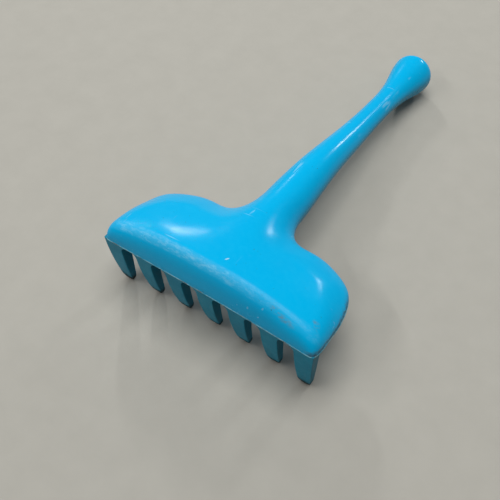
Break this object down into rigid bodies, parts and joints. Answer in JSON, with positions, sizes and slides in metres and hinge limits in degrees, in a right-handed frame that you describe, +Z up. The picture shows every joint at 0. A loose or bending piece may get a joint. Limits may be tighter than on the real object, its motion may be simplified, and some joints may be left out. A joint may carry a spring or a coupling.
{
  "type": "toy sand rake",
  "caption": "Glossy moulded plastic hand rake for sand: a domed hood with a row of claw-shaped tines and a tapered round handle that ends in a bulb.",
  "frame": {"origin": "centre of the bounding box at ground level, as the rake stands on its tine tips and on the bulb of its handle", "axes": "+X along the row of tines, +Y from the tines towards the end of the handle, +Z up"},
  "size_m": [0.1364, 0.2512, 0.06],
  "materials": {
    "shell_plastic": "glossy cyan-blue moulded plastic, lightly scuffed",
    "tine_plastic": "the same blue plastic, dulled by sand, dark with dirt at the tips"
  },
  "bodies": {
    "root": {"hood": "shell_plastic", "handle": "shell_plastic", "tine_1": "tine_plastic", "tine_2": "tine_plastic", "tine_3": "tine_plastic", "tine_4": "tine_plastic", "tine_5": "tine_plastic", "tine_6": "tine_plastic", "tine_7": "tine_plastic"}
  },
  "joints": []
}
